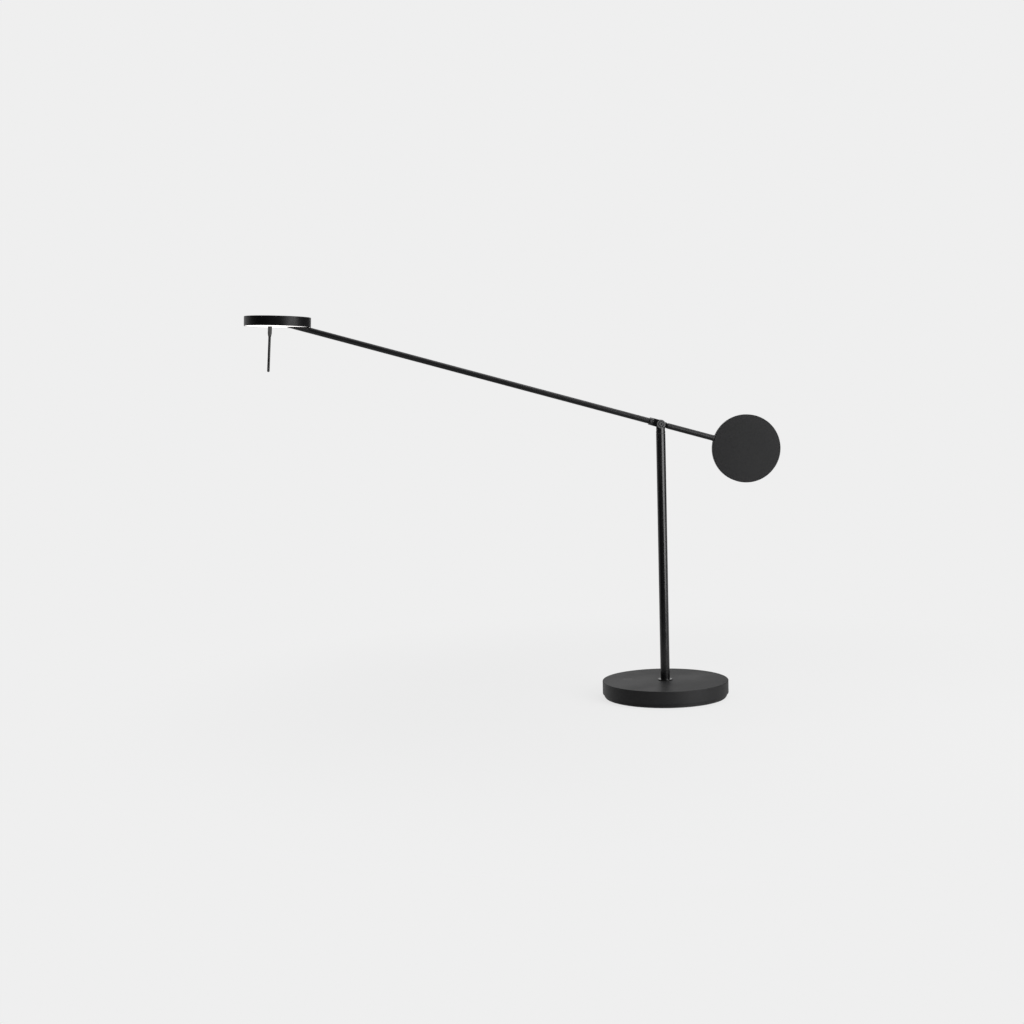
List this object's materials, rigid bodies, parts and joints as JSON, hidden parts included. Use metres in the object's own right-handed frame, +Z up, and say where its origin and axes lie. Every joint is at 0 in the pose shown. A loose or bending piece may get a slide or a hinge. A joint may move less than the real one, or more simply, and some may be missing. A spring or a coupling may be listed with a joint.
{
  "type": "desk lamp",
  "caption": "Desk lamp with a round weighted base, a pole, a tilting arm balanced by a disc counterweight, and a flat round head with an aiming lever.",
  "frame": {"origin": "centre of the foot pad's underside, where the lamp stands", "axes": "+Z up, the head points towards -X, the counterweight towards +X, and the cord inlet faces +Y"},
  "size_m": [0.7943, 0.1911, 0.588],
  "materials": {
    "pad_rubber": "matt",
    "plate_paint": "matt black",
    "cover_paint": "fine textured matt black powder coat",
    "ballast_iron": "as cast",
    "fastener_steel": "zinc plated",
    "board_green": "printed circuit board",
    "nylon": "black moulded nylon",
    "touch_mark": "satin black",
    "grommet_rubber": "matt",
    "pole_paint": "satin black",
    "lead_sleeve": "smooth",
    "joint_paint": "satin black",
    "pivot_black": "blackened",
    "arm_paint": "satin black",
    "weight_paint": "fine textured matt black powder coat",
    "head_paint": "satin black powder coat",
    "well_black": "matt black",
    "opal": "opal, lit from behind",
    "heat_spreader": "white solder mask",
    "chip_yellow": "phosphor",
    "lever_black": "satin black",
    "boot_rubber": "matt"
  },
  "bodies": {
    "base": {"foot_pad": "pad_rubber", "base_plate": "plate_paint", "base_screws": "fastener_steel", "base_cover": "cover_paint", "ballast": "ballast_iron", "driver_board": "board_green", "board_standoffs": "nylon", "touch_disc": "touch_mark", "touch_sensor": "board_green", "cord_grommet": "grommet_rubber", "pole_stud": "fastener_steel", "stud_washer": "fastener_steel", "stud_nut": "fastener_steel", "pole_collar": "pole_paint", "pole": "pole_paint", "pole_bush": "nylon", "bush_screw": "pivot_black", "base_lead": "lead_sleeve"},
    "swivel": {"swivel_fork": "joint_paint", "swivel_clip": "fastener_steel", "fork_lead": "lead_sleeve", "pivot_barrel": "pivot_black", "pivot_screw": "pivot_black", "friction_washers": "nylon"},
    "arm": {"arm_knuckle": "joint_paint", "arm_screw": "pivot_black", "arm_tube": "arm_paint", "arm_lead": "lead_sleeve", "roll_screw": "pivot_black", "tail_rod": "arm_paint", "jam_nut": "pivot_black", "counterweight": "weight_paint"},
    "tip": {"arm_tip": "joint_paint"},
    "head": {"head_housing": "head_paint", "hinge_block": "pivot_black", "block_screws": "fastener_steel", "hinge_pin": "fastener_steel", "arm_well": "well_black", "lens": "opal", "led_disc": "heat_spreader", "led_chips": "chip_yellow", "disc_screws": "fastener_steel", "lever_rod": "lever_black", "lever_boot": "boot_rubber"}
  },
  "joints": [
    {"name": "arm_swivel", "type": "hinge", "parent": "base", "child": "swivel", "pos_m": [0, 0, 0.3985], "axis": [0, 0, 1], "range_deg": [-175, 175]},
    {"name": "arm_tilt", "type": "hinge", "parent": "swivel", "child": "arm", "pos_m": [0, 0, 0.4125], "axis": [0, 1, 0], "range_deg": [-46, 21]},
    {"name": "head_roll", "type": "hinge", "parent": "arm", "child": "tip", "pos_m": [-0.5657, 0, 0.57867], "axis": [-0.9595, 0, 0.2818], "range_deg": [-90, 90]},
    {"name": "head_tilt", "type": "hinge", "parent": "tip", "child": "head", "pos_m": [-0.5657, 0, 0.57867], "axis": [0, 1, 0], "range_deg": [-70, 0]}
  ]
}
